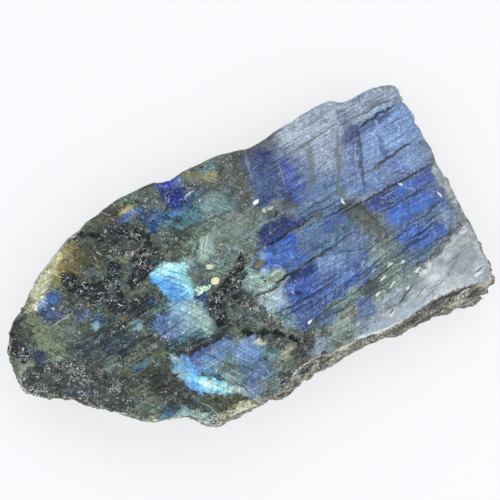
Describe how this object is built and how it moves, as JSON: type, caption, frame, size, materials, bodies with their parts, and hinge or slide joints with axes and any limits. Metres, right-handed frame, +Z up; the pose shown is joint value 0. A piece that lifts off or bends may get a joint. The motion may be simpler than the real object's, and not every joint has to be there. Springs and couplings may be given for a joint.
{
  "type": "rough labradorite chunk",
  "caption": "Slab-like chunk of rough labradorite with a flat worn face, broken blocky sides and an undercut narrow tip. It lies on a cleavage plane.",
  "frame": {"origin": "middle of the stone's bounding box, on the plane that it lies on", "axes": "+X along the stone from its narrow tip to its blunt end, +Z up out of the polished face"},
  "size_m": [0.1246, 0.066, 0.0184],
  "materials": {
    "labradorite": "polished on the flat face, rough and broken on the sides and underside"
  },
  "bodies": {
    "root": {"labradorite_chunk": "labradorite"}
  },
  "joints": []
}
